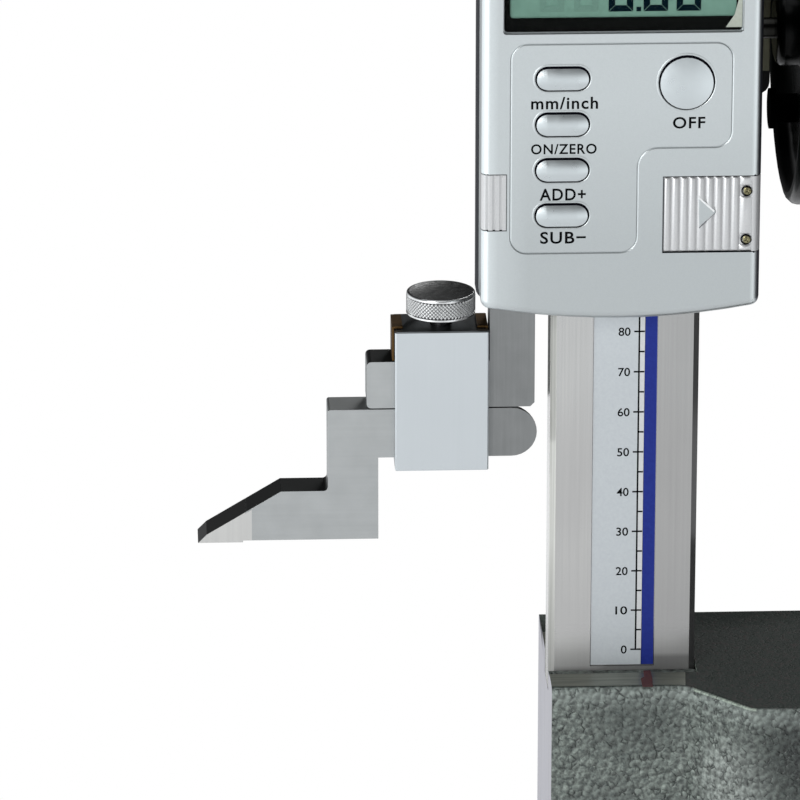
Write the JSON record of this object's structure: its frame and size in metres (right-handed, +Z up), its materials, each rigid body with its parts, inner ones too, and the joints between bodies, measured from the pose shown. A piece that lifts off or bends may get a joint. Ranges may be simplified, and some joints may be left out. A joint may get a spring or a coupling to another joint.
{
  "type": "digital height gauge",
  "caption": "Column-type digital height gauge: cast base, graduated steel column, display carriage with rack-and-pinion handwheel drive, and a clamped carbide-tipped scriber.",
  "frame": {"origin": "on the underside of the base, on its datum plane, under the middle of the column", "axes": "+X to the right of the display, away from the scriber; +Y away from the reader, through the column to its back; +Z up along the column"},
  "size_m": [0.2058, 0.0915, 0.4862],
  "materials": {
    "black_enamel": "black enamel",
    "black_oxide_steel": "black oxide",
    "black_phenolic": "polished black phenolic",
    "blue_film": "printed blue film",
    "brass": "plain brass, lightly tarnished",
    "bronze": "plain bearing bronze",
    "carbide": "ground sintered carbide, matt light grey",
    "cast_iron_hammertone": "green-grey hammertone enamel over cast iron",
    "cell_steel": "nickel-plated can",
    "circuit_board": "green solder resist",
    "clear_acrylic": "clear moulded window",
    "dark_grey_abs": "moulded dark grey plastic",
    "grey_rubber": "moulded silicone rubber",
    "ground_steel": "ground bright, fine lines along the length",
    "label_film": "printed pale film",
    "lcd_glass": "grey-green liquid crystal panel",
    "satin_chrome": "satin chrome plate",
    "satin_steel": "milled, satin, dark grey",
    "silver_paint_abs": "satin silver-grey paint on moulded plastic",
    "spring_steel": "bright spring strip"
  },
  "bodies": {
    "stand": {"base_casting": "cast_iron_hammertone", "column_screw_left": "black_oxide_steel", "column_screw_right": "black_oxide_steel", "column": "ground_steel", "scale_label": "label_film", "edge_strip": "blue_film", "column_cap": "dark_grey_abs", "rack": "satin_steel", "rack_screw_bottom": "black_oxide_steel", "rack_screw_top": "black_oxide_steel"},
    "carriage": {"back_plate": "ground_steel", "bracket_screw_left": "black_oxide_steel", "bracket_screw_right": "black_oxide_steel", "button_cell": "cell_steel", "data_socket": "dark_grey_abs", "display_window": "clear_acrylic", "drive_bracket": "satin_steel", "frame_screw_1": "black_oxide_steel", "frame_screw_2": "black_oxide_steel", "frame_screw_3": "black_oxide_steel", "frame_screw_4": "black_oxide_steel", "gib_screw_high": "black_oxide_steel", "gib_screw_low": "black_oxide_steel", "gib_strip": "bronze", "head_plate": "ground_steel", "housing_front": "silver_paint_abs", "housing_rear": "dark_grey_abs", "key_mat": "grey_rubber", "lcd_panel": "lcd_glass", "lock_pad": "brass", "main_board": "circuit_board", "reading_head": "circuit_board", "rear_cover": "black_enamel", "rear_screw_left": "black_oxide_steel", "rear_screw_right": "black_oxide_steel", "shaft_bush_left": "bronze", "shaft_bush_right": "bronze", "slider_frame": "satin_steel"},
    "drive": {"drive_shaft": "ground_steel", "pinion": "ground_steel", "handwheel": "black_phenolic", "wheel_screw": "black_oxide_steel", "handle_pin": "black_oxide_steel"},
    "handle": {"crank_handle": "black_phenolic"},
    "key_mm_inch": {"key_mm_inch": "silver_paint_abs"},
    "key_on_zero": {"key_on_zero": "silver_paint_abs"},
    "key_add": {"key_add": "silver_paint_abs"},
    "key_subtract": {"key_subtract": "silver_paint_abs"},
    "key_off": {"key_off": "silver_paint_abs"},
    "battery_door": {"battery_door": "silver_paint_abs", "door_spring": "spring_steel", "door_screw_low": "brass", "door_screw_high": "brass"},
    "port_cover": {"port_cover": "silver_paint_abs"},
    "lock_screw": {"lock_screw": "satin_chrome"},
    "clamp_box": {"clamp_box": "satin_chrome", "clamp_shoe": "brass"},
    "clamp_screw": {"clamp_screw": "satin_steel"},
    "scriber": {"scriber": "satin_steel", "carbide_tip": "carbide"}
  },
  "joints": [
    {"name": "carriage_slide", "type": "slide", "parent": "stand", "child": "carriage", "axis": [0, 0, 1], "range_m": [-0.09, 0.21]},
    {"name": "handwheel_spin", "type": "hinge", "parent": "carriage", "child": "drive", "pos_m": [0.0357, 0.0146, 0.2087], "axis": [1, 0, 0], "range_deg": [-516, 1204]},
    {"name": "crank_handle_spin", "type": "hinge", "parent": "drive", "child": "handle", "pos_m": [0.0432, 0.03332, 0.18349], "axis": [1, 0, 0], "continuous": true},
    {"name": "key_mm_inch_press", "type": "slide", "parent": "carriage", "child": "key_mm_inch", "axis": [0, 1, 0], "range_m": [0, 0.0005], "stiffness_N_per_m": 1200, "springref_m": -0.0005},
    {"name": "key_on_zero_press", "type": "slide", "parent": "carriage", "child": "key_on_zero", "axis": [0, 1, 0], "range_m": [0, 0.0005], "stiffness_N_per_m": 1200, "springref_m": -0.0005},
    {"name": "key_add_press", "type": "slide", "parent": "carriage", "child": "key_add", "axis": [0, 1, 0], "range_m": [0, 0.0005], "stiffness_N_per_m": 1200, "springref_m": -0.0005},
    {"name": "key_subtract_press", "type": "slide", "parent": "carriage", "child": "key_subtract", "axis": [0, 1, 0], "range_m": [0, 0.0005], "stiffness_N_per_m": 1200, "springref_m": -0.0005},
    {"name": "key_off_press", "type": "slide", "parent": "carriage", "child": "key_off", "axis": [0, 1, 0], "range_m": [0, 0.0005], "stiffness_N_per_m": 1200, "springref_m": -0.0005},
    {"name": "battery_door_slide", "type": "slide", "parent": "carriage", "child": "battery_door", "axis": [1, 0, 0], "range_m": [0, 0.02]},
    {"name": "port_cover_slide", "type": "slide", "parent": "carriage", "child": "port_cover", "axis": [-1, 0, 0], "range_m": [0, 0.01]},
    {"name": "lock_screw_spin", "type": "hinge", "parent": "carriage", "child": "lock_screw", "pos_m": [-0.0319, 0, 0.2349], "axis": [-1, 0, 0], "range_deg": [0, 450]},
    {"name": "clamp_slide", "type": "slide", "parent": "carriage", "child": "clamp_box", "axis": [-1, 0, 0], "range_m": [0, 0.012]},
    {"name": "clamp_screw_spin", "type": "hinge", "parent": "clamp_box", "child": "clamp_screw", "pos_m": [-0.0432, -0.00225, 0.1426], "axis": [0, 0, 1], "range_deg": [0, 670]},
    {"name": "scriber_slide", "type": "slide", "parent": "clamp_box", "child": "scriber", "axis": [-1, 0, 0], "range_m": [-0.0025, 0.012]}
  ],
  "couplings": [
    {"joint": "handwheel_spin", "follows": "carriage_slide", "rad_per_m": 100}
  ]
}
